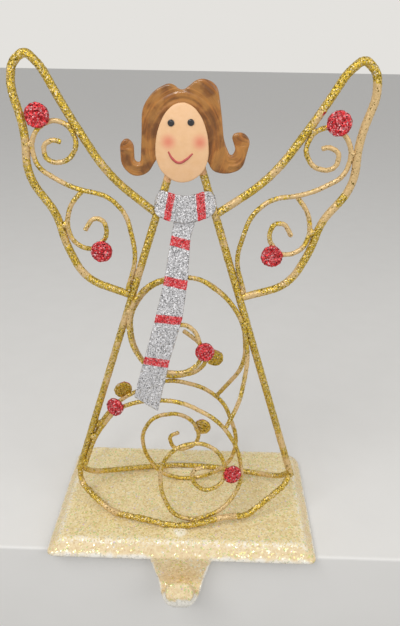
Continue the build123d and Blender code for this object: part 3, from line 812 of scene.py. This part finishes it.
class HOLDER_OT_hair(bpy.types.Operator):
    """Hair with brushed strands and a gloss"""
    bl_idname = "holder.hair"
    bl_label = "Hair"

    def execute(self, context):
        coats = context.scene.holder_coat
        piece = coat("hair_plate", coats.sheet_grain)
        self.strand_map(piece, coats.strand_width / MM)
        brushed = relief(piece, "strands", STRAND_RIDGE, coats.strand_height)
        brushed.texture_coords = "UV"
        brushed.uv_layer = "strands"
        brushed.vertex_group = self.flat_faces(piece).name
        seat(piece, "hair_plate", self.brushed_paint(context.scene.holder_colours))
        return {"FINISHED"}

    def brushed_paint(self, colours):
        paint = Paint("brushed_hair")
        strand = self.strokes(paint, count=1.6)
        streak = paint.between(strand, low=0.3, high=0.7)
        lock = paint.between(self.strokes(paint, count=0.35), low=0.4, high=0.62)
        blotch = paint.between(paint.noise(size=6, detail=3), low=0.4, high=0.6)
        tone = paint.shades(streak, colours.hair, dark=0.5, light=1)
        tone = paint.layer(tone, lock, shade(colours.hair, 0.3), cover=0.75)
        tone = paint.layer(tone, blotch, colours.bright_hair, cover=0.45)
        paint.set(
            base_color=tone, roughness=paint.plus(paint.times(strand, 0.25), 0.2),
            normal=paint.bump(strand, strength=0.35, distance=0.3), coat_weight=0.5,
            coat_roughness=0.1)
        return paint

    def strokes(self, paint, count):
        """Brush strokes along the strands, so many to the width of one."""
        strands = paint.nodes.new("ShaderNodeUVMap")
        strands.uv_map = "strands"
        return paint.noise(1 / count, detail=4, place=strands.outputs[0])

    def flat_faces(self, piece):
        """Front and back of the plate, so that its edge keeps its line."""
        group = piece.vertex_groups.new(name="flat_faces")
        for vertex in piece.data.vertices:
            group.add([vertex.index], smooth(abs(vertex.normal.y), *FLAT_FACE), "REPLACE")
        return group

    def strand_map(self, piece, width):
        """Map that counts strands outwards, from the face and from the notch of each curl."""
        layer = piece.data.uv_layers.new(name="strands")
        low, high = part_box("face_plate")
        face = (low + high) / 2 / MM
        for loop in piece.data.loops:
            place = piece.data.vertices[loop.vertex_index].co / MM
            across = Vector((place.x - face.x, (place.z - face.z) / FACE_STRETCH)).length
            for x, z in CURLS:
                beside = smooth(abs(place.x) - abs(x), *CURL_SIDE)
                inside = beside * smooth(place.z - z, *CURL_TOP)
                if place.x * x > 0 and inside:
                    turn = abs(x - face.x) + CURL_SHIFT - Vector((place.x - x, place.z - z)).length
                    across += inside * (turn - across)
            layer.data[loop.index].uv = (across / width, place.z / (STRAND_LENGTH * width))


class HOLDER_OT_face(bpy.types.Operator):
    """Face with flesh paint, blushed cheeks, raised eyes and a painted smile"""
    bl_idname = "holder.face"
    bl_label = "Face"

    def execute(self, context):
        colours = context.scene.holder_colours
        sizes = context.scene.holder_face
        ink = self.streaked(
            "eye_ink", colours.ink, size=0.6, detail=2, dark=0.7, light=1.06, roughness=0.12)
        for side, (x, z) in zip(("left", "right"), EYES):
            self.finish(self.eye(f"{side}_eye", x, z, sizes), ink)
        stroke = self.streaked(
            "smile_stroke", colours.smile, size=0.7, detail=3, dark=0.8, light=1.1, roughness=0.4)
        self.finish(self.smile("smile", sizes), stroke)
        piece = coat("face_plate", context.scene.holder_coat.sheet_grain)
        fine_relief(piece, "paint", FACE_RELIEF)
        seat(piece, "face_plate", self.flesh(colours, sizes.cheek / MM))
        return {"FINISHED"}

    def flesh(self, colours, cheek):
        paint = Paint("flesh")
        mottle = paint.noise(size=3, detail=4)
        brushed = paint.noise(size=0.8, detail=3)
        tone = paint.shades(mottle, colours.flesh, dark=0.9, light=1.12)
        for x, z in CHEEKS:
            front = self.on_face(x, z).y / MM
            glow = paint.spot((x, front, z), cheek * CHEEK_CORE, cheek * CHEEK_CORE)
            tone = paint.layer(tone, glow, colours.blush, cover=0.75)
        paint.set(
            base_color=tone, roughness=0.48, normal=paint.bump(brushed, strength=0.25, distance=0.2),
            coat_weight=0.15, coat_roughness=0.3)
        return paint

    def streaked(self, name, base, size, detail, dark, light, roughness):
        """Paint of one colour, a little uneven."""
        paint = Paint(name)
        streak = paint.noise(size, detail)
        paint.set(base_color=paint.shades(streak, base, dark, light), roughness=roughness)
        return paint

    def on_face(self, x, z):
        """Point on the front of the face."""
        hit, place, _, _ = NODES["face_plate"].ray_cast(Vector((x * MM, -1, z * MM)), Vector((0, 1, 0)))
        if not hit:
            raise RuntimeError("the face does not reach this point")
        return place

    def eye(self, name, x, z, sizes):
        """Drop of paint: a disc drawn forwards and rounded over."""
        bpy.ops.object.select_all(action="DESELECT")
        bpy.ops.mesh.primitive_circle_add(
            vertices=20, radius=sizes.eye, fill_type="NGON", location=self.on_face(x, z),
            rotation=(pi / 2, 0, 0))
        piece = bpy.context.object
        piece.name = name
        bpy.ops.object.mode_set(mode="EDIT")
        bpy.ops.mesh.extrude_region_move(
            TRANSFORM_OT_translate={"value": (0, -EYE_WALL * sizes.eye_height, 0)})
        for inwards, upwards in EYE_RINGS:
            bpy.ops.mesh.inset(thickness=inwards * sizes.eye, depth=upwards * sizes.eye_height)
        bpy.ops.object.mode_set(mode="OBJECT")
        face_outwards(piece)
        bpy.ops.object.transform_apply(location=True, rotation=True, scale=True)
        rounding = piece.modifiers.new("rounding", "SUBSURF")
        rounding.levels = 2
        rounding.render_levels = 2
        return piece

    def smile(self, name, sizes):
        """Brush stroke that lies on the face."""
        bpy.ops.object.select_all(action="DESELECT")
        bpy.ops.curve.primitive_bezier_curve_add(location=(0, 0, 0))
        piece = bpy.context.object
        piece.name = name
        spline = piece.data.splines[0]
        spline.bezier_points.add(len(SMILE) - len(spline.bezier_points))
        for point, (x, z) in zip(spline.bezier_points, SMILE):
            point.co = self.on_face(x, z)
            point.handle_left_type = "AUTO"
            point.handle_right_type = "AUTO"
        for end in (0, -1):
            spline.bezier_points[end].radius = SMILE_END
        piece.data.bevel_depth = sizes.smile
        piece.data.bevel_resolution = 3
        piece.data.use_fill_caps = True
        only(piece)
        bpy.ops.object.convert(target="MESH")
        piece = bpy.context.object
        close_up(piece)
        face_outwards(piece)
        return piece

    def finish(self, piece, paint):
        wear(piece, paint)
        bpy.ops.object.shade_smooth()
        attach(piece, "root")


class HOLDER_OT_stage(bpy.types.Operator):
    """Pale shelf with a front edge, soft lamps and the camera"""
    bl_idname = "holder.stage"
    bl_label = "Stage"

    def execute(self, context):
        stage = context.scene.holder_stage
        self.shelf(stage)
        for name, (place, size) in LAMPS.items():
            self.lamp(name, place, size, getattr(stage, name))
        self.sky(context.scene, stage)
        self.camera(context.scene)
        context.scene.view_settings.view_transform = "Standard"
        return {"FINISHED"}

    def shelf(self, stage):
        paint = Paint("shelf_paint")
        cloud = paint.noise(size=20, detail=3)
        tone = paint.shades(cloud, stage.shelf, dark=0.97, light=1.05)
        paint.set(base_color=tone, roughness=0.6)
        _, depth, height = SHELF_SIZE
        bpy.ops.object.select_all(action="DESELECT")
        bpy.ops.mesh.primitive_cube_add(
            size=1, location=(0, stage.shelf_edge + depth / 2, -height / 2), scale=SHELF_SIZE)
        shelf = bpy.context.object
        shelf.name = "shelf"
        bpy.ops.object.transform_apply(location=True, rotation=True, scale=True)
        bevel = shelf.modifiers.new("edge", "BEVEL")
        bevel.width = SHELF_ROUNDING
        bevel.segments = 3
        wear(shelf, paint)

    def lamp(self, name, place, size, watts):
        data = bpy.data.lights.new(name, "AREA")
        data.size = size
        data.energy = watts
        lamp = bpy.data.objects.new(name, data)
        bpy.context.scene.collection.objects.link(lamp)
        lamp.location = place
        lamp.rotation_euler = (LAMP_AIM - Vector(place)).to_track_quat("-Z", "Y").to_euler()

    def sky(self, scene, stage):
        """Even light all round that the camera sees as a pale wall."""
        world = bpy.data.worlds.new("sky")
        scene.world = world
        world.use_nodes = True
        nodes = world.node_tree.nodes
        links = world.node_tree.links
        nodes.clear()
        light = nodes.new("ShaderNodeBackground")
        light.inputs["Strength"].default_value = stage.sky
        wall = nodes.new("ShaderNodeBackground")
        wall.inputs["Color"].default_value = (*stage.wall, 1)
        seen = nodes.new("ShaderNodeLightPath")
        choice = nodes.new("ShaderNodeMixShader")
        output = nodes.new("ShaderNodeOutputWorld")
        links.new(seen.outputs["Is Camera Ray"], choice.inputs[0])
        links.new(light.outputs[0], choice.inputs[1])
        links.new(wall.outputs[0], choice.inputs[2])
        links.new(choice.outputs[0], output.inputs["Surface"])

    def camera(self, scene):
        """Slightly above the head, looking down on the base."""
        pitch = radians(CAMERA_PITCH)
        yaw = radians(CAMERA_YAW)
        roll = radians(CAMERA_ROLL)
        ahead = Vector((sin(yaw) * cos(pitch), cos(yaw) * cos(pitch), -sin(pitch)))
        level = Vector((cos(yaw), -sin(yaw), 0))
        upright = level.cross(ahead)
        right = level * cos(roll) + upright * sin(roll)
        up = upright * cos(roll) - level * sin(roll)
        data = bpy.data.cameras.new("camera")
        data.sensor_fit = "HORIZONTAL"
        data.sensor_width = CAMERA_SENSOR
        data.lens = CAMERA_LENS
        camera = bpy.data.objects.new("camera", data)
        scene.collection.objects.link(camera)
        turn = Matrix((right, up, -ahead)).transposed().to_4x4()
        camera.matrix_world = Matrix.Translation(CAMERA_PLACE) @ turn
        scene.camera = camera


class HOLDER_PT_panel(bpy.types.Panel):
    bl_label = "Stocking holder"
    bl_idname = "HOLDER_PT_panel"
    bl_space_type = "VIEW_3D"
    bl_region_type = "UI"
    bl_category = "Stocking holder"

    def draw(self, context):
        for operator in OPERATORS:
            self.layout.operator(operator.bl_idname)
        for name in SETTINGS:
            settings = getattr(context.scene, name)
            box = self.layout.box()
            for key in settings.__annotations__:
                box.prop(settings, key)


OPERATORS = (
    HOLDER_OT_base, HOLDER_OT_wires, HOLDER_OT_berries, HOLDER_OT_scarf, HOLDER_OT_hair,
    HOLDER_OT_face, HOLDER_OT_stage,
)
SETTINGS = {
    "holder_colours": HolderColours,
    "holder_coat": HolderCoat,
    "holder_face": HolderFace,
    "holder_stage": HolderStage,
}


def register():
    for group in SETTINGS.values():
        bpy.utils.register_class(group)
    for name, group in SETTINGS.items():
        setattr(bpy.types.Scene, name, PointerProperty(type=group))
    for operator in OPERATORS:
        bpy.utils.register_class(operator)
    bpy.utils.register_class(HOLDER_PT_panel)


def unregister():
    bpy.utils.unregister_class(HOLDER_PT_panel)
    for operator in reversed(OPERATORS):
        bpy.utils.unregister_class(operator)
    for name in SETTINGS:
        delattr(bpy.types.Scene, name)
    for group in reversed(SETTINGS.values()):
        bpy.utils.unregister_class(group)


def main():
    register()
    bpy.ops.holder.base()
    bpy.ops.holder.wires()
    bpy.ops.holder.berries()
    bpy.ops.holder.scarf()
    bpy.ops.holder.hair()
    bpy.ops.holder.face()
    bpy.ops.holder.stage()


if __name__ == "__main__":
    main()
